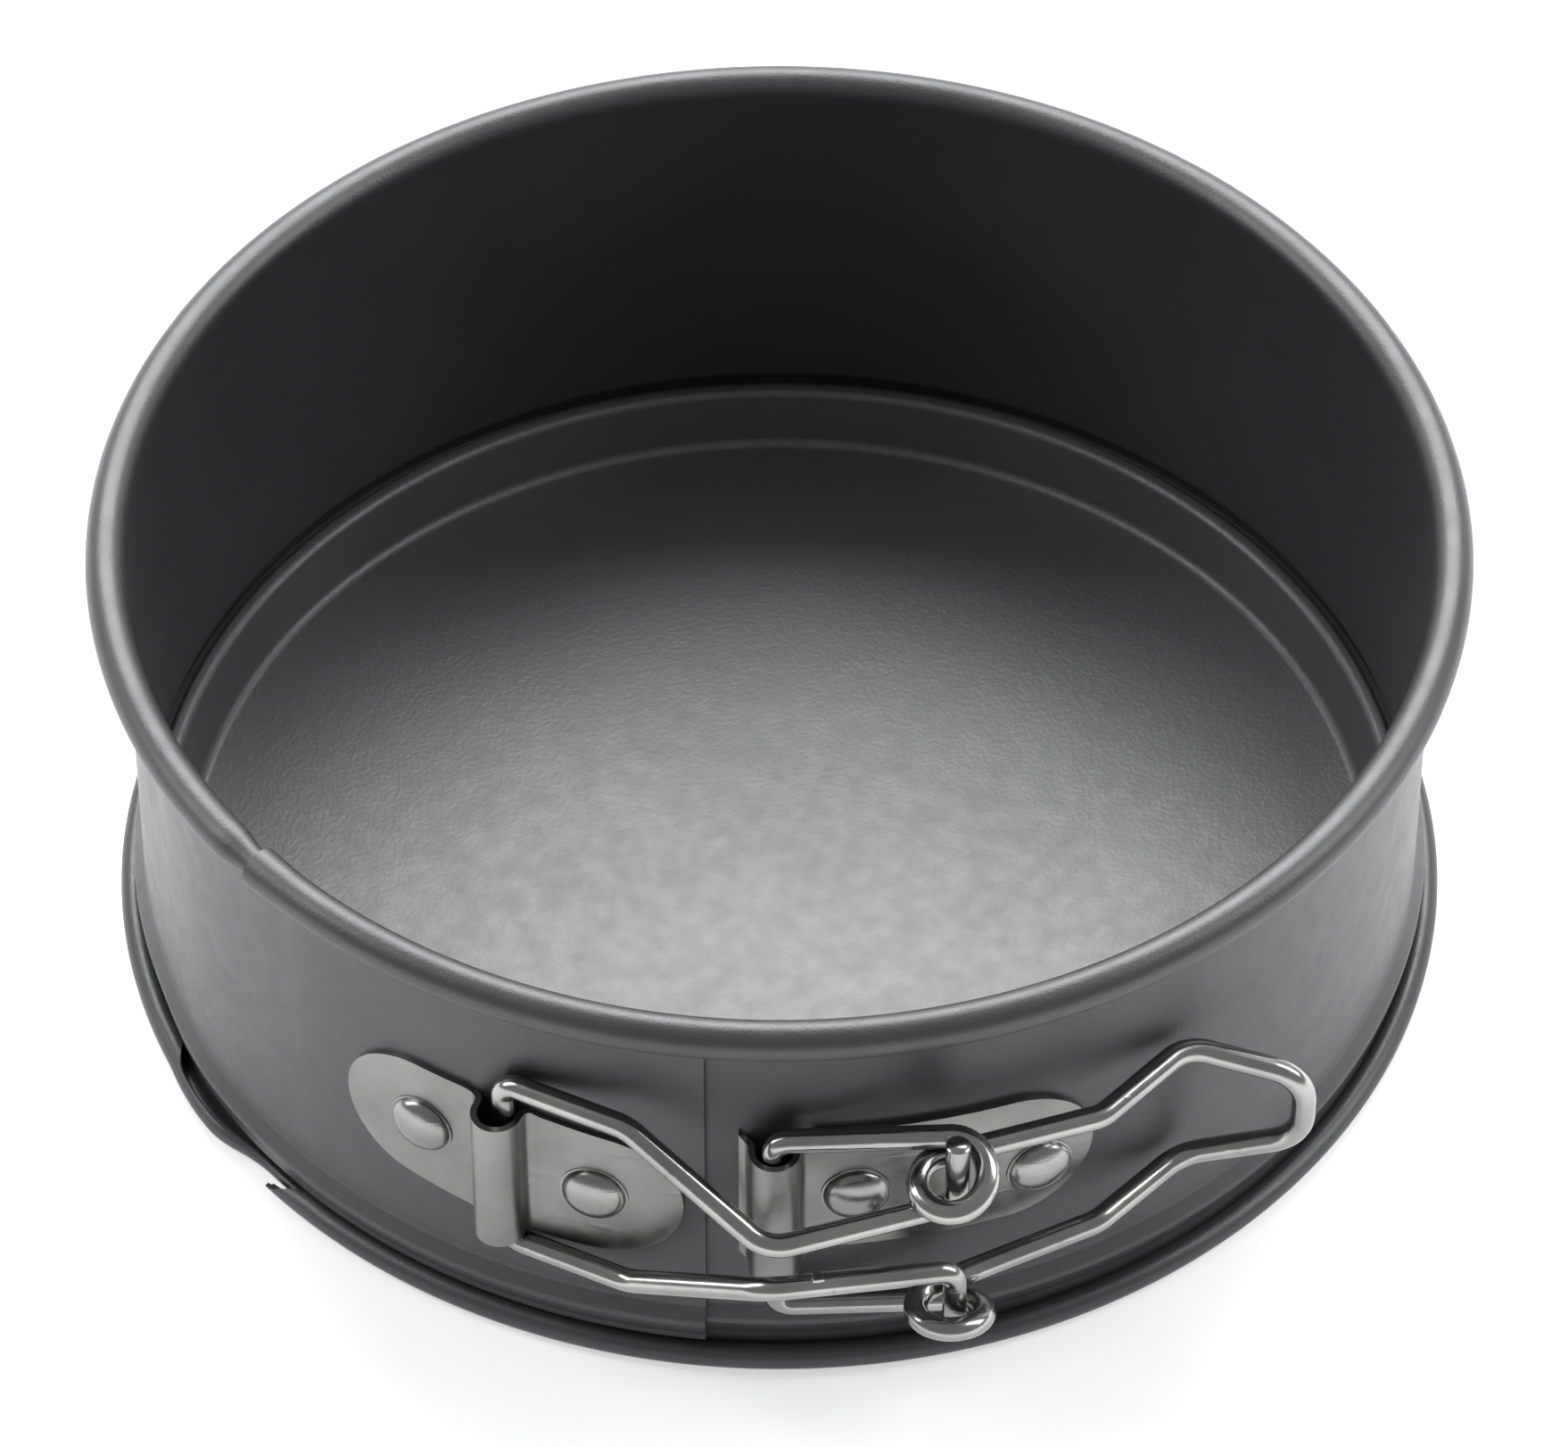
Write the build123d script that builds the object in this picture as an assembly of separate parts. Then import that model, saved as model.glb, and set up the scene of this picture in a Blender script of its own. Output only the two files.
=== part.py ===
from build123d import *
from math import acos, atan2, cos, degrees, hypot, pi, radians, sin, tan
import os

# A springform pan: a sheet steel band with a rolled rim and hem, a sunken base plate held in the band's
# groove, and an over-centre clasp of two riveted brackets and two bent wires.
# Millimetres. The origin is the centre of the circle that the pan stands on, +Z up, the clasp towards -Y.
# An azimuth is measured about Z from the front (-Y) towards +X, in degrees.

# Band
inner_radius = 90.3
sheet = 0.6
rim_height = 69.6
bead_radius = 2.75
hem_radius = 1.85
neck_radius = 90.9
neck_top = 5.4
groove_depth = 1.6
groove_height = 8.4
groove_mouth = 10.9
layer_gap = 0.3
tongue_clearance = 0.5

# Where the ends of the band lie
inner_end = -48.0
outer_end = -6.2
joggle_start = -66.0
joggle_width = 2.0
joggle_lap = 0.5
end_gap = 0.6
seam_gap = 0.3

# Base plate
plate_sheet = 0.8
floor_top = 0.8
disc_radius = 43.4
disc_lap = 1.0
step_foot = 85.6
shoulder_radius = 89.0
shoulder_height = 10.4
shoulder_outset = 1.3
plate_bends = (0.9, 0.95, 2.2)
plate_radius = 91.4
plate_rim_height = 8.0

# Brackets and rivets
strap = 0.9
bracket_height = 23.6
clasp_height = 33.4
channel_half = 2.6
lobe_radius = 11.4
lobe_body = 12.0
left_channel = -23.5
right_channel = -0.4
left_lobe_ends = (-39.0, -7.8)
right_lobe_end = 27.4
right_lip = 3.0
left_tilt = -6.0
right_tilt = -4.0
right_plate_rise = 2.0
channel_lap = 0.05
left_rivet_azimuths = (-31.2, -15.5)
right_rivet_azimuths = (6.4, 22.3)
rivet_head = 4.3
rivet_dome = 2.3
rivet_shank = 2.0
rivet_back = 0.15
rivet_back_head = 3.2
rivet_play = 0.05

# Wires
wire_radius = 1.65
tight_bend = 2.6
soft_bend = 6.0

# Link: its heights are half-spans about its middle plane
link_rise = 1.8
link_leg = (-36.6, -86.3)
link_knee = (-20.2, -94.2)
link_waist = (-1.6, -105.4)
link_end = (23.4, -99.7)
link_leg_half = 15.8
link_waist_half = 4.1
link_end_half = 6.9
pin_half = 18.6

# Lever: the same
lever_drop = 2.0
lever_rise = 4.7
lever_leg = (-0.8, -94.2)
lever_leg_half = 16.7
lever_butt = 1.0
eye = (22.8, -99.2)
coil_radius = 4.6
coil_pitch = 3.6
coil_dip = 2.8
coil_sides = 9
coil_corner = 0.94
handle_bend = (42.8, -87.1)
handle_bend_half = 10.8
handle_heel = (54.4, -75.6)
handle_heel_half = 11.0
handle_tip = (70.4, -77.6)
handle_tip_half = 6.0
tip_bend = 6.0

outer_radius = inner_radius + sheet
overlap_radius = outer_radius + layer_gap
overlap_outer = overlap_radius + sheet
bead_height = rim_height - bead_radius
hem_top = 2 * hem_radius


def export(part, name):
    part.label = name
    export_step(part, f"parts/{name}.step")


def polar(radius, azimuth):
    return radius * sin(radians(azimuth)), -radius * cos(radians(azimuth))


def ring(profile, start, stop):
    """A profile drawn in radius and height, turned about Z from one azimuth to another."""
    return Rot(0, 0, start - 90) * revolve(Plane.XZ * profile, Axis.Z, stop - start)


def strip(line, thickness):
    """A thin face that lies to the left of an open line."""
    return make_face(offset(line, amount=thickness, side=Side.LEFT).edges())


def tube_section(radius, wall, centre):
    return Pos(*centre) * (Circle(radius) - Circle(radius - wall))


def wall_profile(push, top, bottom):
    """The band's wall, groove and neck, pushed outwards by a distance."""
    wall, groove, neck = (r + push for r in (inner_radius, inner_radius + groove_depth, neck_radius))
    line = FilletPolyline((wall, top), (wall, groove_mouth), (groove, groove_height),
                          (neck, neck_top), (neck, bottom), radius=(2.0, 1.0, 1.2))
    return strip(line, sheet)


def bead_profile():
    return tube_section(bead_radius, sheet, (inner_radius + bead_radius, bead_height))


def hem_profile():
    return tube_section(hem_radius, sheet, (neck_radius + hem_radius, hem_radius))


def full_profile():
    return wall_profile(0, bead_height, hem_radius) + bead_profile() + hem_profile()


def make_band_right():
    """The half of the band whose end is the inner layer of the overlap."""
    half = ring(full_profile(), inner_end, 180 - seam_gap)
    return half - rivet_holes(right_rivet_azimuths)


def make_band_left():
    """The half whose end is the outer layer: its wall steps out and runs on over the other end."""
    push = layer_gap + sheet
    rim_end = inner_end - end_gap
    tongue_top = bead_height - bead_radius - layer_gap
    half = ring(wall_profile(0, bead_height, hem_radius), seam_gap - 180, joggle_start)
    half += ring(bead_profile(), seam_gap - 180, rim_end)
    half += ring(hem_profile(), seam_gap - 180, rim_end)
    joggle = Pos(inner_radius + (sheet + push) / 2, (groove_mouth + tongue_top) / 2) * Rectangle(
        sheet + push, tongue_top - groove_mouth)
    half += ring(joggle, joggle_start - joggle_width, joggle_start)
    tongue = wall_profile(push, tongue_top, hem_top + tongue_clearance)
    half += ring(tongue, joggle_start - joggle_lap, outer_end)
    return half - rivet_holes(left_rivet_azimuths)


def make_base_plate():
    """The sunken floor, its stepped side and the rim that the band's groove holds."""
    line = FilletPolyline((plate_radius, plate_rim_height),
                          (shoulder_radius + shoulder_outset, plate_rim_height),
                          (shoulder_radius, shoulder_height), (step_foot, floor_top),
                          (disc_radius, floor_top), radius=plate_bends)
    edge = ring(make_face(offset(line, amount=plate_sheet, side=Side.LEFT).edges()), 0, 360)
    return edge + Pos(0, 0, floor_top - plate_sheet / 2) * Cylinder(disc_radius + disc_lap, plate_sheet)


def radial(azimuth, height):
    """A plane on the pan's axis that faces outwards at an azimuth."""
    x, y = polar(1, azimuth)
    return Plane(origin=(0, 0, height), x_dir=(-y, x, 0), z_dir=(x, y, 0))


def rivet_planes(azimuths):
    """The rivets lie along the bracket's tilted centre line."""
    middle = sum(azimuths) / len(azimuths)
    slope = tan(radians(left_tilt if middle < outer_end else right_tilt))
    return [radial(a, clasp_height + outer_radius * radians(a - middle) * slope) for a in azimuths]


def rivet_holes(azimuths):
    bore = Pos(0, 0, outer_radius) * Cylinder(rivet_shank + rivet_play, 12)
    return Part() + [face * bore for face in rivet_planes(azimuths)]


def make_rivets(azimuths, back, seat, back_head):
    """Domed rivets from the back of the sheet to the seat that the heads lie on."""
    flare = (rivet_head ** 2 + rivet_dome ** 2) / (2 * rivet_dome)
    rivets = Part()
    for face in rivet_planes(azimuths):
        cap = Pos(0, 0, seat + rivet_dome - flare) * Sphere(flare)
        cap &= Pos(0, 0, seat) * Cylinder(rivet_head, rivet_dome, align=(Align.CENTER, Align.CENTER, Align.MIN))
        foot = back - rivet_back if back_head else back
        shank = Pos(0, 0, foot) * Cylinder(rivet_shank, seat - foot, align=(Align.CENTER, Align.CENTER, Align.MIN))
        body = cap + shank
        if back_head:
            body += Pos(0, 0, back - rivet_back) * Cylinder(rivet_back_head, rivet_back,
                                                            align=(Align.CENTER, Align.CENTER, Align.MAX))
        rivets += face * body
    return rivets


def bracket(channel, ends, seat, azimuths, tilt, rise):
    """A strap bent into a half-round channel, with a rounded lobe at each end that has a rivet."""
    face = radial(channel, clasp_height)
    left, right = (seat * sin(radians(end - channel)) for end in ends)
    outline = Rectangle(lobe_body, bracket_height)
    for end, side in ((left, -1), (right, 1)):
        centre, body = end - side * lobe_radius, side * lobe_body / 2
        if side * centre > 0:
            outline += Pos(centre, 0) * Circle(lobe_radius)
            outline += Polygon((body, bracket_height / 2), (body, -bracket_height / 2), (centre, -lobe_radius),
                               (centre, lobe_radius), align=None)
        else:
            outline -= Pos(end + side * lobe_body, 0) * Rectangle(2 * lobe_body, 2 * bracket_height)
    blank = face * Pos(0, rise, seat) * Rot(0, 0, tilt) * extrude(outline, seat / 3, both=True)
    skin = Pos(0, 0, clasp_height)
    plate = (blank & skin * Cylinder(seat + strap, 2 * bracket_height)) - skin * Cylinder(seat, 3 * bracket_height)
    plate -= rivet_holes(azimuths)
    outer, reach = channel_half + strap, seat + channel_half
    hollow = channel_outline(channel_half, 0, reach)
    hump = channel_outline(outer, seat + channel_lap, reach) - hollow
    place = Pos(0, 0, clasp_height) * Rot(0, 0, channel)
    plate -= place * extrude(hollow, bracket_height, both=True)
    return plate + place * extrude(hump, bracket_height / 2, both=True)


def channel_outline(half, start, reach):
    """A U in plan, open towards the pan."""
    return Pos(0, -(start + reach) / 2) * Rectangle(2 * half, reach - start) + Pos(0, -reach) * Circle(half)


def tube(points, radii):
    path = FilletPolyline(*points, radius=radii)
    return sweep(Plane(origin=path @ 0, z_dir=path % 0) * Circle(wire_radius), path=path)


def make_link():
    """The bail: a leg in the left channel, two arms that pinch together, and two pins."""
    middle = clasp_height + link_rise
    arm = [(*link_leg, link_leg_half), (*link_knee, link_leg_half), (*link_waist, link_waist_half),
           (*link_end, link_end_half), (*link_end, pin_half)]
    up = [(x, y, middle + z) for x, y, z in arm]
    down = [(x, y, middle - z) for x, y, z in reversed(arm)]
    radii = (tight_bend, soft_bend, soft_bend, tight_bend)
    return tube(down + up, radii[::-1] + radii)


def coil(start, finish):
    """Corner points of an eye that the wire winds outwards round, from above, between two points in plan."""
    def tangent(point, side):
        dx, dy = point[0] - eye[0], point[1] - eye[1]
        return degrees(atan2(dx, dy)) + side * degrees(acos(coil_radius / hypot(dx, dy)))

    first, last = tangent(start, 1), tangent(finish, -1) + 360
    step = (last - first) / coil_sides
    points = []
    for k in range(coil_sides):
        turned = (k + 0.5) / coil_sides
        angle = radians(first + (k + 0.5) * step)
        reach = coil_radius / cos(radians(step / 2))
        drop = coil_pitch * turned + coil_dip * (1 - cos(2 * pi * turned)) / 2
        points.append((eye[0] + reach * sin(angle), eye[1] + reach * cos(angle), lever_leg_half - drop))
    return points


def make_lever():
    """The closing handle: a split leg in the right channel, an eye on each arm and a flared finger end."""
    middle = clasp_height - lever_drop
    turns = coil(lever_leg, handle_bend)
    arm = [(*lever_leg, lever_butt), (*lever_leg, lever_leg_half)] + turns + [
        (*handle_bend, handle_bend_half), (*handle_heel, handle_heel_half), (*handle_tip, handle_tip_half)]
    radii = [tight_bend] + [coil_radius * coil_corner] * coil_sides + [soft_bend, soft_bend, tip_bend]
    slope = lever_rise / (handle_tip[0] - lever_leg[0])
    level = [middle + slope * (x - lever_leg[0]) for x, y, z in arm]
    up = [(x, y, centre + z) for (x, y, z), centre in zip(arm, level)]
    down = [(x, y, centre - z) for (x, y, z), centre in zip(arm, level)]
    return tube(up + down[::-1], radii + radii[::-1])


os.makedirs("parts", exist_ok=True)
export(make_band_right(), "band_right")
export(make_band_left(), "band_left")
export(make_base_plate(), "base_plate")
export(bracket(left_channel, left_lobe_ends, overlap_outer, left_rivet_azimuths, left_tilt, 0), "left_bracket")
export(bracket(right_channel, (right_channel - right_lip, right_lobe_end), outer_radius, right_rivet_azimuths, 0,
               right_plate_rise), "right_bracket")
export(make_rivets(left_rivet_azimuths, overlap_radius, overlap_outer + strap, False), "left_rivets")
export(make_rivets(right_rivet_azimuths, inner_radius, outer_radius + strap, True), "right_rivets")
export(make_link(), "link_wire")
export(make_lever(), "lever_wire")
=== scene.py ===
from math import acos, atan2, ceil, cos, hypot, pi, radians, sin, sqrt, tan

import bpy
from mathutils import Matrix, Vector


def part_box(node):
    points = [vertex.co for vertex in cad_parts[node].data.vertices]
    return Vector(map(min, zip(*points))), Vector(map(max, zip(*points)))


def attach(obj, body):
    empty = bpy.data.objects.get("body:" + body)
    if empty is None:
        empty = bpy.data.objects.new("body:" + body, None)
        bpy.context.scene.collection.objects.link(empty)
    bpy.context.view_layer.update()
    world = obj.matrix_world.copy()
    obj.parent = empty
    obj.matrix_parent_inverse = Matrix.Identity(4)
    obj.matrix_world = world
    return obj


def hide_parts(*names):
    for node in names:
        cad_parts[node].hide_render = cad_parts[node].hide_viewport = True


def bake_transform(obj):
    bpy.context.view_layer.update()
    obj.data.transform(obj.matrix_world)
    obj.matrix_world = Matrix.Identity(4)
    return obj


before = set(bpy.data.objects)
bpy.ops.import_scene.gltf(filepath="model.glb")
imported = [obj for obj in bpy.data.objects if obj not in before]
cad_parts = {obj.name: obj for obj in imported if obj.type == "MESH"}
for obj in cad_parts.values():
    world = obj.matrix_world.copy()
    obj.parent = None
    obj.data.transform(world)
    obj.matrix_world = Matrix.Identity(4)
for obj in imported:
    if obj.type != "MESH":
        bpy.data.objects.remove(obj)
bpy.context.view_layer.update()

# Sizes in millimetres; the outer ones come from the frame
MM = 0.001
RIM_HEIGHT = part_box("band_right")[1][2] / MM
RIM_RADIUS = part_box("band_right")[1][0] / MM
BEAD = 2.75
HEM = 1.85
SHEET = 0.6
WALL = RIM_RADIUS - 2 * BEAD
NECK_OUTSET = 0.6
NECK = WALL + NECK_OUTSET
NECK_TOP = 5.4
GROOVE_OUTSET = 1.6
GROOVE = WALL + GROOVE_OUTSET
GROOVE_HEIGHT = 8.4
GROOVE_MOUTH = 10.9
WALL_BENDS = (2.0, 1.0, 1.2)
WALL_ROWS = 14
OVERLAP_PUSH = 0.9
TONGUE_GAP = 0.3
TONGUE_TOP = RIM_HEIGHT - 2 * BEAD - TONGUE_GAP
TONGUE_BOTTOM = 4.3

# Edges that turn by more than this many degrees are shaded sharp
SHARP_ANGLE = 38

# Where the bead and the hem begin and end round their own section, in degrees
CURL_START = 180
BEAD_STOP = -152
BEAD_STEPS = 34
HEM_STOP = 512
HEM_STEPS = 30

# The base plate's upper face, from its rim over the shoulder and down to the floor
PLATE_SHEET = 0.8
PLATE_RIM_HEIGHT = 8.0
SHOULDER_HEIGHT = 9.5
PLATE_INSIDE = 60.0  # only gives the last bend its direction
PLATE_LINE = [(91.4, PLATE_RIM_HEIGHT), (90.2, PLATE_RIM_HEIGHT), (89.9, SHOULDER_HEIGHT),
              (87.6, SHOULDER_HEIGHT), (85.5, PLATE_SHEET), (PLATE_INSIDE, PLATE_SHEET)]
PLATE_BENDS = (0.5, 0.85, 1.3, 1.6)
BEND_STEPS = 8
FLOOR_EDGE = 84.0
FLOOR_ROWS = 14
PLATE_SIDES = 360

# Azimuths and lengths along the band in degrees, from the front towards +X
INNER_END = -48.0
OUTER_END = -6.2
JOGGLE = -66.0
JOGGLE_LEAD, JOGGLE_LENGTH = 6, 14
DROP_LENGTH = 3.5
LIFT_LEAD, LIFT_LENGTH = 3, 6
RIDGE_LAG, RIDGE_LENGTH = 1, 3
TUCK_START, TUCK_LENGTH, TUCK_END = -52, 3.6, INNER_END + 2.5
SLEEVE_LENGTH = 5
SLIT_START, SLIT_LENGTH = -68, 5
CURL_IN_START, CURL_IN_LENGTH = -57, 7
BULGE_START, BULGE_LENGTH = -65, 12
OPEN_HEM_END = -46.2
POINT_LEAD, POINT_LENGTH = 1.2, 5.5
POINT_START = INNER_END - 1

# How far those features go: millimetres, then degrees round the section
RIDGE = 0.12
TUCK = 0.72
SLEEVE = 0.22
BULGE = 0.55
CURL_IN_SHIFT = 1.2
CURL_IN_SHRINK = 0.9
SHRINK_DROP = 0.6
SLIT_TURN = 95
POINT_TURN_START = 105
POINT_TURN_STOP = 165

# Brackets, rivets and wires
STRAP = 0.9
SEAT_LEFT = WALL + SHEET + OVERLAP_PUSH
SEAT_RIGHT = WALL + SHEET
CLASP_HEIGHT = 33.4
BRACKET_HEIGHT = 23.6
HUMP = 2.6
FLARE = 1.5
FLARE_REACH = 2.6
LOBE = 11.4
LOBE_BODY = 6.0
HUMP_BLEND = 2.2
HUMP_STEPS = 18
FLAT_TOLERANCE = 0.01
LIP_CLEAR = 0.2
LOBE_COLUMNS = range(0, 85, 6)
LOBE_END = 0.998
STRAP_ROWS = 10
STRAP_SOFTENING = 0.22
RIVET_HEAD = 4.45
RIVET_DOME = 2.3
RIVET_BROW = 0.12
RIVET_STEPS = 15
RIVET_SHANK = 2.0
RIVET_SIDES = 48
RIVET_FOOT = [(RIVET_HEAD, 0.1), (RIVET_HEAD + 0.28, 0.06), (RIVET_HEAD + 0.25, 0.0), (RIVET_SHANK, 0.0)]
BACK_HEAD = [(3.1, 0.0), (3.2, 0.07), (3.05, 0.15), (1.2, 0.15)]
BACK_FLUSH = [(1.2, 0.0)]
WIRE = 1.65
WIRE_SIDES = 20
WIRE_STEPS = 10
WIRE_CHAMFER = 0.3
CHAMFER_SLANT = 0.7  # its length as a share of its depth
HINGE_BEND = 2.6
ARM_BEND = 6.0

# The link: its upper arm in plan, each point with its height over the link's own middle
LINK_MIDDLE = CLASP_HEIGHT + 1.8
LINK_ARM = [(-36.6, -86.3, 15.8), (-20.2, -94.2, 15.8), (-1.6, -105.4, 4.1),
            (23.4, -99.7, 6.9), (23.4, -99.7, 18.6)]
LINK_BENDS = (HINGE_BEND, ARM_BEND, ARM_BEND, HINGE_BEND)
PIP_PLACE = (5.0, -103.9, LINK_MIDDLE - 4.9 + WIRE - 0.25)
PIP_ALONG = (25.0, 5.7, -2.8)
PIP_HALF = 0.85
PIP_SQUARENESS = 0.75
PIP_SIDES = 24
PIP_LEVELS = ((-0.5, 1.0), (0.25, 1.0), (0.42, 0.9), (0.5, 0.7))

# The lever: plan points from its hinge leg to the finger end, and heights over its sloping middle
LEVER_MIDDLE = CLASP_HEIGHT - 2.0
LEVER_LEG, LEVER_BEND, LEVER_HEEL, LEVER_TIP = (-0.8, -94.2), (42.8, -87.1), (54.4, -75.6), (70.4, -77.6)
LEVER_LEG_HALF, LEVER_BEND_HALF, LEVER_HEEL_HALF, LEVER_TIP_HALF = 16.7, 10.8, 11.0, 6.0
LEVER_LEG_START = 1.0
LEVER_RISE = 4.7
EYE = (22.8, -99.2)
COIL = 4.6
COIL_STEPS = 48
COIL_PITCH = 3.6
COIL_DIP = 2.8

# Studio, in metres and watts
TABLE_LINE = [(-3.0, 0.0), (2.2, 0.0), (2.2, 2.4)]
TABLE_BEND = 0.9
TABLE_HALF_WIDTH = 3.5
TABLE_DROP = 0.0004
TABLE_GLOW = 0.5
WORLD_GREY = (0.36, 0.36, 0.36)
LIGHTS = [
    # name, place, target, width, height, watts
    ("softbox_back", (0, 1.0, 1.15), (0, 0, 0.02), 1.5, 1.0, 42),
    ("softbox_left", (-0.95, 0.05, 0.75), (0, 0, 0.03), 0.4, 0.9, 6),
    ("softbox_right", (0.95, 0.05, 0.75), (0, 0, 0.03), 0.4, 0.9, 6)]
CAMERA_DISTANCE = 1.152
CAMERA_ELEVATION = 46.37
CAMERA_TARGET = (0, 0, 0.0292)
CAMERA_LENS = 186.9
CAMERA_SENSOR = 36.0
CAMERA_SHIFT_X = 0.0029


# ------------------------------------------------------------------ geometry helpers

def polar(radius, azimuth, height):
    a = radians(azimuth)
    return Vector((radius * sin(a), -radius * cos(a), height)) * MM


def smooth(x):
    x = min(max(x, 0.0), 1.0)
    return x * x * (3 - 2 * x)


def arc(x, y, radius, start, stop, steps):
    angles = [radians(start + (stop - start) * k / steps) for k in range(steps + 1)]
    return [Vector((x + radius * cos(a), y + radius * sin(a))) for a in angles]


def rounded(points, radii, steps=6):
    """A polyline whose inner corners are arcs; a corner of radius 0 stays as it is."""
    points = [Vector(p) for p in points]
    out = [points[0]]
    for before, corner, after, radius in zip(points, points[1:], points[2:], radii):
        if radius == 0:
            out.append(corner)
            continue
        u, v = (before - corner).normalized(), (after - corner).normalized()
        half = u.angle(v) / 2
        reach = radius / tan(half)
        middle = corner + (u + v).normalized() * (radius / sin(half))
        start, stop = corner + u * reach - middle, corner + v * reach - middle
        turn = start.angle(stop)
        for k in range(steps + 1):
            t = k / steps
            out.append(middle + (start * sin((1 - t) * turn) + stop * sin(t * turn)) / sin(turn))
    return out + [points[-1]]


def thicken(line, thickness):
    """The closed outline of a strip round a line in two dimensions."""
    left, right = [], []
    for k, p in enumerate(line):
        along = (line[min(k + 1, len(line) - 1)] - line[max(k - 1, 0)]).normalized()
        across = Vector((-along.y, along.x)) * thickness / 2
        left.append(p + across)
        right.append(p - across)
    return left + right[::-1]


def mesh_object(name, verts, faces, body, material, node, slot):
    mesh = bpy.data.meshes.new(name)
    mesh.from_pydata([tuple(v) for v in verts], [], faces)
    mesh.validate()
    mesh.update()
    for polygon in mesh.polygons:
        polygon.use_smooth = True
    mesh.set_sharp_from_angle(angle=radians(SHARP_ANGLE))
    mesh.materials.append(material)
    obj = bpy.data.objects.new(name, mesh)
    bpy.context.scene.collection.objects.link(obj)
    if body:
        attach(obj, body)
    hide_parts(node)
    return obj


def bridge(rings, first=0):
    """Quads between neighbouring rings that each have the same number of points."""
    count = len(rings[0])
    faces = []
    for i in range(len(rings) - 1):
        a, b = first + i * count, first + (i + 1) * count
        faces += [(a + k, a + (k + 1) % count, b + (k + 1) % count, b + k) for k in range(count)]
    return faces


def flipped(faces):
    return [face[::-1] for face in faces]


def strip_caps(first, count, rings):
    """End faces of a swept strip whose outline runs out along one side and back along the other."""
    faces = []
    for base, flip in ((first, False), (first + (rings - 1) * count, True)):
        for k in range(count // 2 - 1):
            quad = (base + k, base + k + 1, base + count - 2 - k, base + count - 1 - k)
            faces.append(quad if flip else quad[::-1])
    return faces


def turned_strips(strips):
    """Strips swept about Z. Each is (a centre line for an azimuth, first azimuth, last azimuth, step)."""
    verts, faces = [], []
    for line_at, start, stop, step in strips:
        spans = ceil(abs(stop - start) / step)
        rings = []
        for k in range(spans + 1):
            azimuth = start + (stop - start) * k / spans
            rings.append([polar(p.x, azimuth, p.y) for p in thicken(line_at(azimuth), SHEET)])
        first = len(verts)
        verts += [p for ring in rings for p in ring]
        faces += bridge(rings, first) + strip_caps(first, len(rings[0]), len(rings))
    return verts, faces


def tube(points, radius):
    """A round wire along points, with a small chamfer at each cut end."""
    sides = WIRE_SIDES
    points = [Vector(p) for p in points]
    tangents = [(points[min(k + 1, len(points) - 1)] - points[max(k - 1, 0)]).normalized()
                for k in range(len(points))]
    side = tangents[0].orthogonal().normalized()
    stations = []
    for k, (point, along) in enumerate(zip(points, tangents)):
        if k:
            side = tangents[k - 1].rotation_difference(along) @ side
        stations.append((point, along, side.copy(), radius))
    for end, sign in ((0, -1), (-1, 1)):
        point, along, side, _ = stations[end]
        tip_point = point + along * sign * WIRE_CHAMFER * CHAMFER_SLANT
        tip = (tip_point, along, side, radius - WIRE_CHAMFER)
        stations = [tip] + stations if end == 0 else stations + [tip]
    rings = []
    for point, along, side, size in stations:
        up = along.cross(side)
        turns = [2 * pi * k / sides for k in range(sides)]
        rings.append([(point + (side * cos(a) + up * sin(a)) * size) * MM for a in turns])
    verts = [p for ring in rings for p in ring]
    faces = bridge(rings)
    last = (len(rings) - 1) * sides
    faces.append(tuple(reversed(range(sides))))
    faces.append(tuple(last + k for k in range(sides)))
    return verts, faces


# ------------------------------------------------------------------ materials

FLECK_POSITION = 0.76
FLECK_SHARE = (0.3, 0.29, 0.27)


def material(name, metallic, roughness, **inputs):
    made = bpy.data.materials.new(name)
    made.use_nodes = True
    shader = made.node_tree.nodes["Principled BSDF"]
    shader.inputs["Metallic"].default_value = metallic
    shader.inputs["Roughness"].default_value = roughness
    for key, value in inputs.items():
        shader.inputs[key.replace("_", " ")].default_value = value
    return made, made.node_tree, shader


def noise(tree, scale, detail=4.0, roughness=0.55, stretch=None):
    where = tree.nodes.new("ShaderNodeTexCoord")
    texture = tree.nodes.new("ShaderNodeTexNoise")
    texture.inputs["Scale"].default_value = scale
    texture.inputs["Detail"].default_value = detail
    texture.inputs["Roughness"].default_value = roughness
    source = where.outputs["Object"]
    if stretch:
        mapping = tree.nodes.new("ShaderNodeMapping")
        mapping.inputs["Scale"].default_value = stretch
        tree.links.new(source, mapping.inputs["Vector"])
        source = mapping.outputs["Vector"]
    tree.links.new(source, texture.inputs["Vector"])
    return texture.outputs["Fac"]


def ramp(tree, source, low, high, start=0.3, stop=0.7):
    """A ramp between two colours, or between two greys given as one number each."""
    node = tree.nodes.new("ShaderNodeValToRGB")
    for element, position, value in zip(node.color_ramp.elements, (start, stop), (low, high)):
        element.position = position
        element.color = (*value, 1) if isinstance(value, tuple) else (value, value, value, 1)
    tree.links.new(source, node.inputs["Fac"])
    return node.outputs["Color"]


def bump(tree, shader, layers):
    """Stacked bumps, each a (height output, strength, distance in metres)."""
    previous = None
    for height, strength, distance in layers:
        node = tree.nodes.new("ShaderNodeBump")
        node.inputs["Strength"].default_value = strength
        node.inputs["Distance"].default_value = distance
        tree.links.new(height, node.inputs["Height"])
        if previous:
            tree.links.new(previous, node.inputs["Normal"])
        previous = node.outputs["Normal"]
    tree.links.new(previous, shader.inputs["Normal"])


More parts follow.
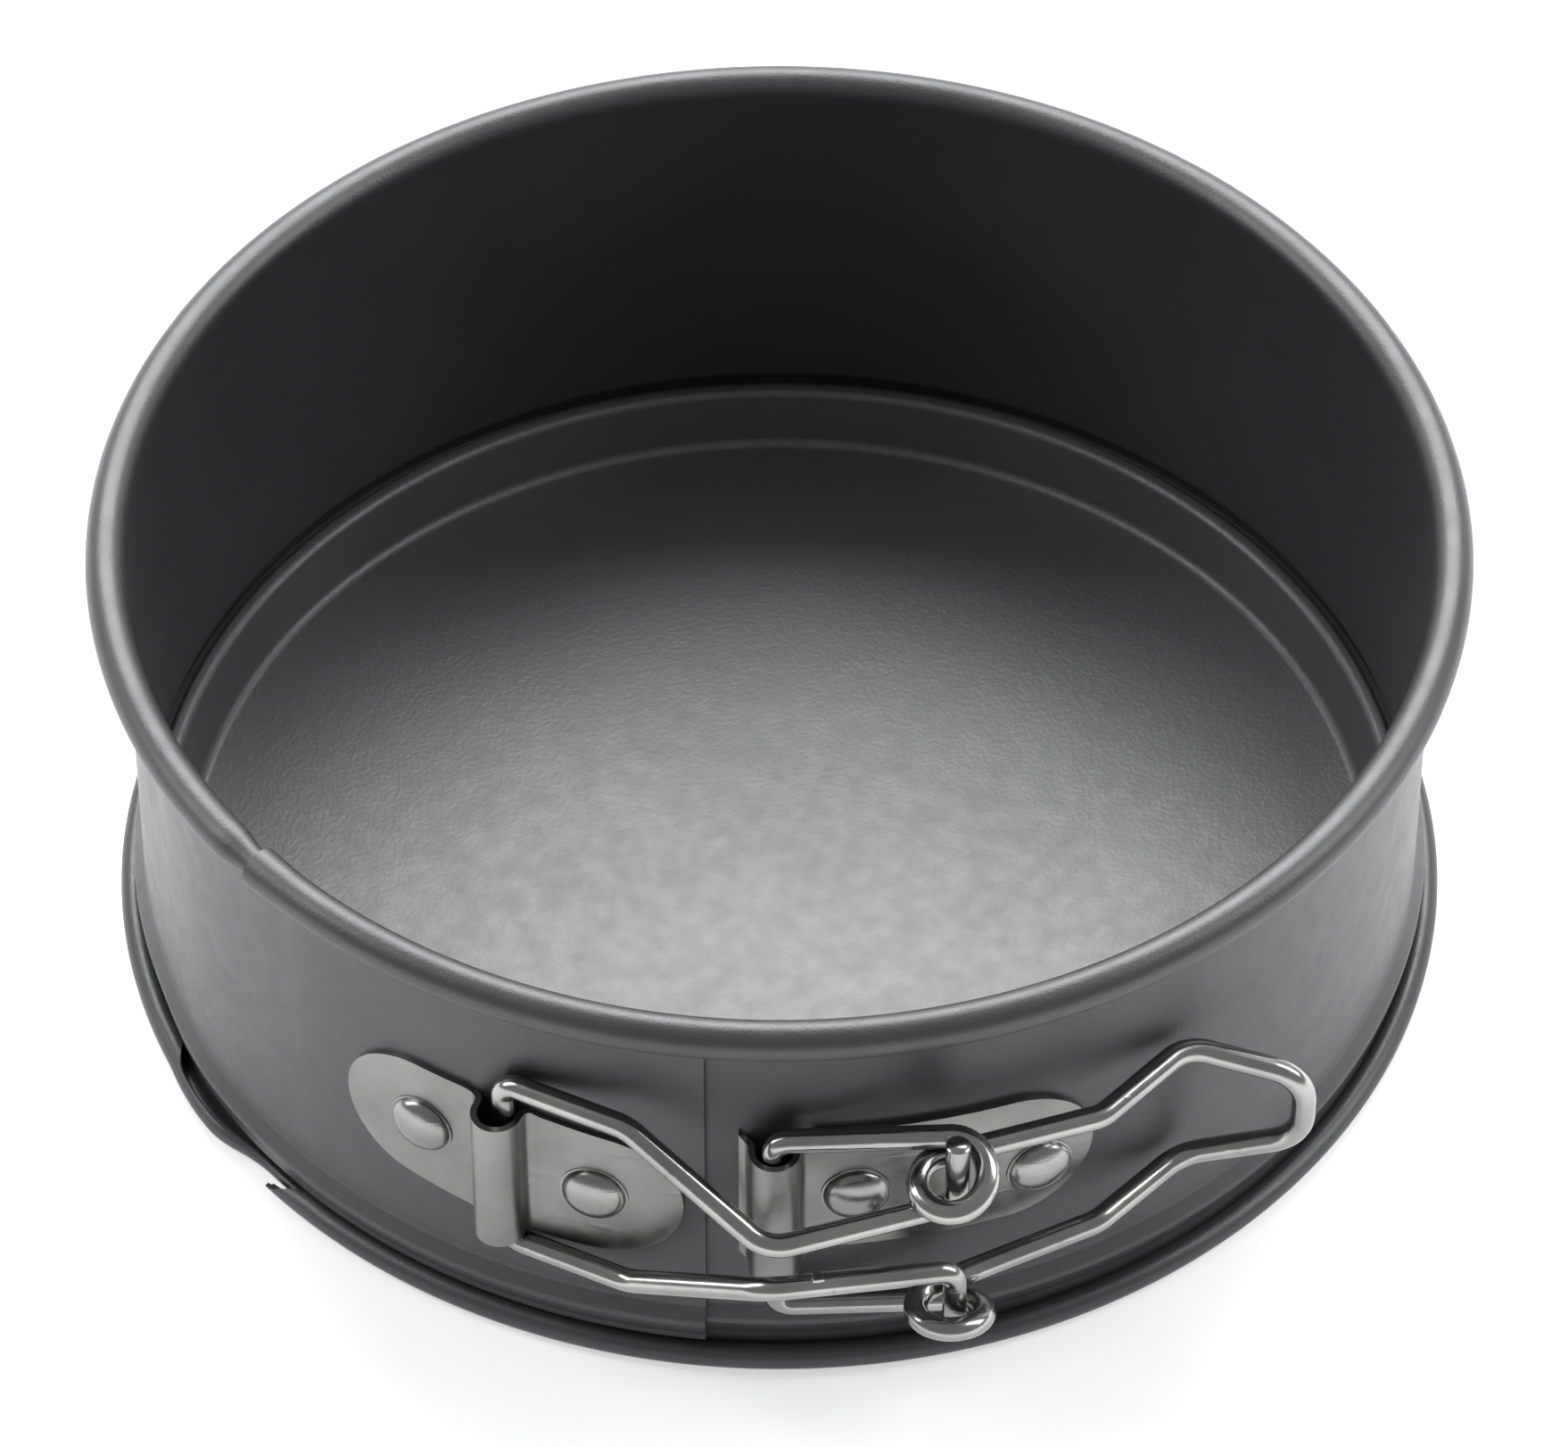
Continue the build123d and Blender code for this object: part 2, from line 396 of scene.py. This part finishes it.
def coated_steel():
    made, tree, shader = material("coated_steel", 0.55, 0.42)
    tone = ramp(tree, noise(tree, scale=38, detail=5), low=(0.066, 0.066, 0.07), high=(0.08, 0.08, 0.084))
    tree.links.new(tone, shader.inputs["Base Color"])
    gloss = ramp(tree, noise(tree, scale=240, detail=6), low=0.37, high=0.45)
    tree.links.new(gloss, shader.inputs["Roughness"])
    grain, waves = noise(tree, scale=2400, detail=3), noise(tree, scale=55, detail=2)
    bump(tree, shader, [(grain, 0.5, 0.00009), (waves, 0.04, 0.0004)])
    return made


def coated_base():
    made, tree, shader = material("coated_base", 0.45, 0.42)
    tone = ramp(tree, noise(tree, scale=30, detail=4), low=(0.1, 0.1, 0.104), high=(0.115, 0.115, 0.119))
    tree.links.new(tone, shader.inputs["Base Color"])
    gloss = ramp(tree, noise(tree, scale=300, detail=5), low=0.42, high=0.5)
    tree.links.new(gloss, shader.inputs["Roughness"])
    cells = tree.nodes.new("ShaderNodeTexVoronoi")
    where = tree.nodes.new("ShaderNodeTexCoord")
    cells.inputs["Scale"].default_value = 1250
    tree.links.new(where.outputs["Object"], cells.inputs["Vector"])
    grain = noise(tree, scale=2000, detail=3)
    bump(tree, shader, [(cells.outputs["Distance"], 0.28, 0.0001), (grain, 0.42, 0.0001)])
    return made


def plated(name, low, high, rough_low, rough_high, scratch):
    """Plated metal with uneven tone, dark flecks where the tone is highest, and fine scratches."""
    made, tree, shader = material(name, 1.0, rough_low)
    tone = ramp(tree, noise(tree, scale=90, detail=5), low, high)
    fleck = tone.node.color_ramp.elements.new(FLECK_POSITION)
    fleck.color = (*(share * value for share, value in zip(FLECK_SHARE, low)), 1)
    tree.links.new(tone, shader.inputs["Base Color"])
    gloss = ramp(tree, noise(tree, scale=420, detail=6, roughness=0.7), rough_low, rough_high)
    tree.links.new(gloss, shader.inputs["Roughness"])
    streaks = noise(tree, scale=260, detail=3, roughness=0.6, stretch=(0.12, 1.0, 1.6))
    marks = ramp(tree, streaks, low=0.0, high=1.0, start=0.62, stop=0.68)
    bump(tree, shader, [(noise(tree, scale=320, detail=4), 0.1, 0.0001), (marks, scratch, 0.00005)])
    return made


COATED = coated_steel()
BASE = coated_base()
STRAP_METAL = plated("plated_strap", (0.2, 0.2, 0.2), (0.28, 0.28, 0.275), 0.27, 0.38, 0.35)
RIVET_METAL = plated("plated_rivet", (0.24, 0.24, 0.24), (0.33, 0.33, 0.325), 0.2, 0.3, 0.3)
WIRE_METAL = plated("plated_wire", (0.28, 0.28, 0.28), (0.4, 0.4, 0.395), 0.14, 0.24, 0.25)


# ------------------------------------------------------------------ band

def bead_line(grow):
    """The rim's curl, from the top of the wall outwards, down and round."""
    return arc(WALL + BEAD, RIM_HEIGHT - BEAD, BEAD - SHEET / 2 + grow, CURL_START, BEAD_STOP, BEAD_STEPS)


def hem_line(start, stop, shift=0.0, shrink=0.0):
    """The foot's curl, from the bottom of the wall down, outwards and round."""
    return arc(NECK + HEM + shift, HEM - shrink * SHRINK_DROP, HEM - SHEET / 2 - shrink,
               start, stop, HEM_STEPS)


def tucked_bead(azimuth):
    """The left piece's curl narrows and runs on inside the right piece's curl."""
    return bead_line(-TUCK * smooth((azimuth - TUCK_START) / TUCK_LENGTH))


def sleeve_bead(azimuth):
    """The right piece's curl opens a little round the tucked one at its end."""
    return bead_line(SLEEVE * smooth((INNER_END + SLEEVE_LENGTH - azimuth) / SLEEVE_LENGTH))


def open_hem(azimuth):
    """The left piece's hem opens into a slit, then curls in under the wall at its end."""
    opened = smooth((azimuth - SLIT_START) / SLIT_LENGTH)
    curled = smooth((azimuth - CURL_IN_START) / CURL_IN_LENGTH)
    bulge = sin(pi * min(max((azimuth - BULGE_START) / BULGE_LENGTH, 0), 1))
    return hem_line(CURL_START, HEM_STOP - SLIT_TURN * opened,
                    BULGE * bulge - CURL_IN_SHIFT * curled, CURL_IN_SHRINK * curled)


def pointed_hem(azimuth):
    """The right piece's hem starts as a point at its outer, lower side."""
    t = smooth((azimuth - INNER_END + POINT_LEAD) / POINT_LENGTH)
    return hem_line(CURL_START + POINT_TURN_START * (1 - t), HEM_STOP - POINT_TURN_STOP * (1 - t))


def wall_line(push, top, bottom):
    """The wall's section from its top over the groove and down the neck."""
    middle = SHEET / 2 + push
    corners = [(WALL + middle, top), (WALL + middle, GROOVE_MOUTH), (GROOVE + middle, GROOVE_HEIGHT),
               (NECK + middle, NECK_TOP), (NECK + middle, bottom)]
    line = rounded(corners, WALL_BENDS)
    fine = [line[0].lerp(line[1], k / WALL_ROWS) for k in range(WALL_ROWS)]
    return fine + line[1:]


def inner_wall(azimuth):
    return wall_line(0, RIM_HEIGHT - BEAD, HEM)


def tongue_line(azimuth):
    """The outer layer of the wall, which steps out over the inner one at the joggle."""
    t = smooth((azimuth - JOGGLE + JOGGLE_LEAD) / JOGGLE_LENGTH)
    drop = smooth((azimuth - INNER_END + DROP_LENGTH) / DROP_LENGTH)
    lift = smooth((azimuth - JOGGLE + LIFT_LEAD) / LIFT_LENGTH)
    ridge = RIDGE * smooth((azimuth - INNER_END - RIDGE_LAG) / RIDGE_LENGTH)
    return wall_line(OVERLAP_PUSH * t + ridge, TONGUE_TOP + (RIM_HEIGHT - BEAD - TONGUE_TOP) * (1 - drop),
                     TONGUE_BOTTOM + (HEM - TONGUE_BOTTOM) * (1 - lift))


def make_band():
    right = turned_strips([
        (sleeve_bead, INNER_END, 180, 1.2),
        (inner_wall, INNER_END, 180, 1.2),
        (pointed_hem, POINT_START, 180, 1.0)])
    mesh_object("band_right_sheet", *right, "band", COATED, "band_right", "coated_steel")
    left = turned_strips([
        (tucked_bead, -180, TUCK_END, 1.0),
        (open_hem, -180, OPEN_HEM_END, 0.8),
        (tongue_line, -180, OUTER_END, 0.8)])
    sheet = mesh_object("band_left_sheet", *left, None, COATED, "band_left", "coated_steel")
    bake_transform(sheet)


# ------------------------------------------------------------------ base

def make_base():
    """One turned sheet: the upper face, and the lower face one thickness below it."""
    top = rounded(PLATE_LINE, PLATE_BENDS, BEND_STEPS)
    flat = [Vector((FLOOR_EDGE * (1 - k / FLOOR_ROWS), PLATE_SHEET)) for k in range(1, FLOOR_ROWS)]
    upper = top[:-1] + flat
    lower = []
    for k, p in enumerate(upper):
        along = (upper[min(k + 1, len(upper) - 1)] - upper[max(k - 1, 0)]).normalized()
        lower.append(p + Vector((-along.y, along.x)) * PLATE_SHEET)
    sides = PLATE_SIDES
    rows = upper[::-1] + lower
    verts = [polar(p.x, 360 * k / sides, p.y) for p in rows for k in range(sides)]
    faces = bridge([[None] * sides for _ in rows])
    for centre, ring, flip in ((PLATE_SHEET, 0, True), (0.0, (len(rows) - 1) * sides, False)):
        verts.append(Vector((0, 0, centre)) * MM)
        hub = len(verts) - 1
        for k in range(sides):
            n = (k + 1) % sides
            faces.append((hub, ring + n, ring + k) if flip else (hub, ring + k, ring + n))
    mesh_object("base_plate_pan", verts, flipped(faces), "base", BASE, "base_plate", "coated_base")


# ------------------------------------------------------------------ brackets

def clasp_point(x, distance, height, channel):
    """A point in the plan of a bracket's channel: across, out from the pan's axis, and up."""
    a = radians(channel)
    place = (x * cos(a) + distance * sin(a), x * sin(a) - distance * cos(a), CLASP_HEIGHT + height)
    return Vector(place) * MM


def bracket_bounds(x, lobes, tilt, rise):
    """Lowest and highest point of the strap at x across; lobes are the centres of its round ends."""
    t = radians(tilt)
    left, right = lobes
    limits = []
    for sign in (-1, 1):
        corners = []
        if left is not None:
            corners.append((left, sign * LOBE))
        corners += [(-LOBE_BODY, sign * BRACKET_HEIGHT / 2), (LOBE_BODY, sign * BRACKET_HEIGHT / 2)]
        corners.append((right, sign * LOBE))
        turned = [Vector((u * cos(t) - v * sin(t), u * sin(t) + v * cos(t))) for u, v in corners]
        height = None
        for lobe, edge, side in ((left, turned[0], -1), (right, turned[-1], 1)):
            if lobe is not None and side * (x - edge.x) > 0:
                centre = Vector((lobe * cos(t), lobe * sin(t)))
                height = centre.y + sign * sqrt(max(LOBE ** 2 - (x - centre.x) ** 2, 0))
        if height is None:
            spans = [(a, b) for a, b in zip(turned, turned[1:]) if x <= b.x]
            a, b = spans[0] if spans else turned[-2:]
            height = a.y + (b.y - a.y) * (x - a.x) / (b.x - a.x)
        limits.append(height + rise)
    return limits


def make_bracket(name, node, body, channel, seat, ends, lip, tilt, rise):
    """A strap with a half-round hump in the middle and a rounded lobe at its ends."""
    left, right = (None if end is None else seat * sin(radians(end - channel)) for end in ends)
    lobes = (left + LOBE if left is not None else None, right - LOBE)
    middle = STRAP / 2
    rim = HUMP + STRAP / 2
    edge = rim + FLARE_REACH
    bend = rounded([(-edge, middle), (-rim, middle), (-rim, HUMP)], (FLARE,))[:-1]
    plan = bend + arc(0, HUMP, rim, 180, 0, HUMP_STEPS) + [Vector((-p.x, p.y)) for p in reversed(bend)]
    if left is None:
        kept = [p for p in plan if p.x > LIP_CLEAR - lip or p.y > middle + LIP_CLEAR]
        plan = [Vector((-lip, middle))] + kept

    def lobe_columns(centre, side):
        flat = [side * (edge + (abs(centre) - edge) * k / 6) for k in range(1, 6)]
        cut = [centre + side * LOBE * sin(radians(a)) for a in LOBE_COLUMNS]
        return [Vector((x, middle)) for x in flat + cut + [centre + side * LOBE * LOBE_END]]

    def distance(p):
        """Out from the pan's axis: the flat parts follow the band, and the hump stands on it."""
        if p.y <= middle + FLAT_TOLERANCE:
            return sqrt((seat + p.y) ** 2 - p.x ** 2)
        return sqrt((seat + middle) ** 2 - p.x ** 2) + p.y - middle

    columns = plan + lobe_columns(lobes[1], 1)
    if left is not None:
        columns = lobe_columns(lobes[0], -1)[::-1] + columns
    surface = [Vector((p.x, distance(p))) for p in columns]
    front, back = [], []
    for k, (p, q) in enumerate(zip(columns, surface)):
        along = (surface[min(k + 1, len(surface) - 1)] - surface[max(k - 1, 0)]).normalized()
        normal = Vector((-along.y, along.x)) * middle
        low, high = bracket_bounds(p.x, lobes, tilt, rise)
        inside = smooth((edge - abs(p.x)) / HUMP_BLEND)
        low += (-BRACKET_HEIGHT / 2 - low) * inside
        high += (BRACKET_HEIGHT / 2 - high) * inside
        for store, place in ((front, q + normal), (back, q - normal)):
            heights = [low + (high - low) * r / STRAP_ROWS for r in range(STRAP_ROWS + 1)]
            store.append([clasp_point(place.x, place.y, height, channel) for height in heights])
    rings = [a + b[::-1] for a, b in zip(front, back)]
    verts = [p for ring in rings for p in ring]
    count = len(rings[0])
    faces = bridge(rings) + strip_caps(0, count, len(rings))
    obj = mesh_object(name, verts, flipped(faces), body, STRAP_METAL, node, "plated_strap")
    soften = obj.modifiers.new("edges", "BEVEL")
    soften.width = STRAP_SOFTENING * MM
    soften.segments = 2
    soften.limit_method = "ANGLE"
    soften.angle_limit = radians(50)


# ------------------------------------------------------------------ rivets

def make_rivets(name, node, body, seat, azimuths, tilt, back, inner_end):
    """Domed heads with a thin foot, on shanks that end at the back of the sheet as inner_end says."""
    middle = sum(azimuths) / 2
    slope = tan(radians(tilt))
    profile = []
    for k in range(1, RIVET_STEPS):
        angle = pi / 2 * k / RIVET_STEPS
        height = RIVET_BROW + (RIVET_DOME - RIVET_BROW) * cos(angle)
        profile.append((RIVET_HEAD * sin(angle), height))
    depth = seat - back
    profile += RIVET_FOOT + [(RIVET_SHANK, -depth + 0.01)]
    profile += [(radius, -depth - drop) for radius, drop in inner_end]
    sides = RIVET_SIDES
    turns = [2 * pi * k / sides for k in range(sides)]
    verts, faces = [], []
    for azimuth in azimuths:
        height = CLASP_HEIGHT + (WALL + SHEET) * radians(azimuth - middle) * slope
        out = polar(1, azimuth, 0).normalized()
        side = Vector((-out.y, out.x, 0))
        origin = out * seat + Vector((0, 0, height))
        first = len(verts)
        rings = []
        for radius, lift in profile:
            spokes = [(side * cos(a) + Vector((0, 0, 1)) * sin(a)) * radius for a in turns]
            rings.append([(origin + out * lift + spoke) * MM for spoke in spokes])
        verts += [p for ring in rings for p in ring]
        faces += flipped(bridge(rings, first))
        top = len(verts)
        verts.append((origin + out * RIVET_DOME) * MM)
        verts.append((origin + out * profile[-1][1]) * MM)
        last = first + (len(rings) - 1) * sides
        for k in range(sides):
            n = (k + 1) % sides
            faces.append((top, first + k, first + n))
            faces.append((top + 1, last + n, last + k))
    mesh_object(name, verts, faces, body, RIVET_METAL, node, "plated_rivet")


# ------------------------------------------------------------------ wires

def make_link():
    """A loop whose leg turns in the left channel, with its two ends turned outwards as pins."""
    up = [(x, y, LINK_MIDDLE + z) for x, y, z in LINK_ARM]
    down = [(x, y, LINK_MIDDLE - z) for x, y, z in reversed(LINK_ARM)]
    line = rounded(down + up, LINK_BENDS[::-1] + LINK_BENDS, WIRE_STEPS)
    mesh_object("link_bail", *tube(line, WIRE), "link", WIRE_METAL, "link_wire", "plated_wire")


def make_link_pip():
    """A small square nub on the link's lower arm."""
    place = Vector(PIP_PLACE)
    along = Vector(PIP_ALONG).normalized()
    up = Vector((0, 0, 1))
    across = up.cross(along).normalized()
    up = along.cross(across)
    count = PIP_SIDES
    rings = []
    for level, size in PIP_LEVELS:
        ring = []
        for k in range(count):
            a = 2 * pi * k / count
            reach = size * PIP_HALF / max(abs(cos(a)), abs(sin(a))) ** PIP_SQUARENESS
            ring.append((place + (along * cos(a) + across * sin(a)) * reach + up * level) * MM)
        rings.append(ring)
    verts = [p for ring in rings for p in ring]
    last = (len(rings) - 1) * count
    faces = bridge(rings) + [tuple(reversed(range(count))), tuple(last + k for k in range(count))]
    mesh_object("link_pip", verts, faces, "link", WIRE_METAL, "link_wire", "plated_wire")


def eye_turn(start, finish):
    """The lever's one turn of wire round the eye, seen from above, between two points in plan."""
    def tangent(point, side):
        dx, dy = point[0] - EYE[0], point[1] - EYE[1]
        return atan2(dx, dy) + side * acos(COIL / hypot(dx, dy))

    first, last = tangent(start, 1), tangent(finish, -1) + 2 * pi
    points = []
    for k in range(COIL_STEPS + 1):
        t = k / COIL_STEPS
        a = first + (last - first) * t
        drop = COIL_PITCH * t + COIL_DIP * (1 - cos(2 * pi * t)) / 2
        points.append((EYE[0] + COIL * sin(a), EYE[1] + COIL * cos(a), LEVER_LEG_HALF - drop))
    return points


def make_lever():
    """The closing handle: a leg in the right channel, an eye on each arm, and a flared finger end."""
    turn = eye_turn(LEVER_LEG, LEVER_BEND)
    arm = [(*LEVER_LEG, LEVER_LEG_START), (*LEVER_LEG, LEVER_LEG_HALF)] + turn
    arm += [(*LEVER_BEND, LEVER_BEND_HALF), (*LEVER_HEEL, LEVER_HEEL_HALF), (*LEVER_TIP, LEVER_TIP_HALF)]
    radii = [HINGE_BEND] + [0] * len(turn) + [ARM_BEND] * 3
    slope = LEVER_RISE / (LEVER_TIP[0] - LEVER_LEG[0])
    level = [LEVER_MIDDLE + slope * (x - LEVER_LEG[0]) for x, y, z in arm]
    up = [(x, y, centre + z) for (x, y, z), centre in zip(arm, level)]
    down = [(x, y, centre - z) for (x, y, z), centre in zip(arm, level)]
    line = rounded(up + down[::-1], radii + radii[::-1], WIRE_STEPS)
    mesh_object("lever_handle", *tube(line, WIRE), "lever", WIRE_METAL, "lever_wire", "plated_wire")


# ------------------------------------------------------------------ studio

def make_floor():
    """A large pale table that curves up into a backdrop behind the pan."""
    line = rounded(TABLE_LINE, (TABLE_BEND,), 16)
    verts = [(side * TABLE_HALF_WIDTH, p[0], p[1] - TABLE_DROP) for p in line for side in (-1, 1)]
    faces = [(2 * k, 2 * k + 1, 2 * k + 3, 2 * k + 2) for k in range(len(line) - 1)]
    mesh = bpy.data.meshes.new("table")
    mesh.from_pydata(verts, [], faces)
    for polygon in mesh.polygons:
        polygon.use_smooth = True
    floor = bpy.data.objects.new("table", mesh)
    bpy.context.scene.collection.objects.link(floor)
    made, _, shader = material("pale_table", 0.0, 0.9, Base_Color=(0.8, 0.8, 0.8, 1))
    shader.inputs["Specular IOR Level"].default_value = 0.1
    shader.inputs["Emission Color"].default_value = (1, 1, 1, 1)
    shader.inputs["Emission Strength"].default_value = TABLE_GLOW
    mesh.materials.append(made)


def area_light(name, place, target, width, height, watts):
    data = bpy.data.lights.new(name, "AREA")
    data.shape = "RECTANGLE"
    data.size = width
    data.size_y = height
    data.energy = watts
    light = bpy.data.objects.new(name, data)
    bpy.context.scene.collection.objects.link(light)
    light.location = place
    light.rotation_euler = (Vector(target) - Vector(place)).to_track_quat("-Z", "Y").to_euler()


def make_studio():
    make_floor()
    for light in LIGHTS:
        area_light(*light)
    scene = bpy.context.scene
    world = bpy.data.worlds.new("studio")
    world.use_nodes = True
    world.node_tree.nodes["Background"].inputs["Color"].default_value = (*WORLD_GREY, 1)
    scene.world = world
    scene.view_settings.view_transform = "Standard"
    camera = bpy.data.objects.new("camera", bpy.data.cameras.new("camera"))
    scene.collection.objects.link(camera)
    elevation, centre = radians(CAMERA_ELEVATION), Vector(CAMERA_TARGET)
    back, up = CAMERA_DISTANCE * cos(elevation), CAMERA_DISTANCE * sin(elevation)
    camera.location = centre + Vector((0, -back, up))
    camera.rotation_euler = (centre - camera.location).to_track_quat("-Z", "Y").to_euler()
    camera.data.lens = CAMERA_LENS
    camera.data.sensor_width = CAMERA_SENSOR
    camera.data.shift_x = CAMERA_SHIFT_X
    scene.camera = camera


make_band()
make_base()
make_bracket("left_bracket_strap", "left_bracket", "band_end",
             channel=-23.5, seat=SEAT_LEFT, ends=(-39.0, -7.8), lip=0, tilt=-6, rise=0)
make_bracket("right_bracket_strap", "right_bracket", "band",
             channel=-0.4, seat=SEAT_RIGHT, ends=(None, 27.4), lip=4.76, tilt=0, rise=2.0)
make_rivets("left_rivets_heads", "left_rivets", "band_end", seat=SEAT_LEFT + STRAP,
            azimuths=(-31.2, -15.5), tilt=-6, back=WALL + OVERLAP_PUSH, inner_end=BACK_FLUSH)
make_rivets("right_rivets_heads", "right_rivets", "band", seat=SEAT_RIGHT + STRAP,
            azimuths=(6.4, 22.3), tilt=-4, back=WALL, inner_end=BACK_HEAD)
make_link()
make_link_pip()
make_lever()
make_studio()
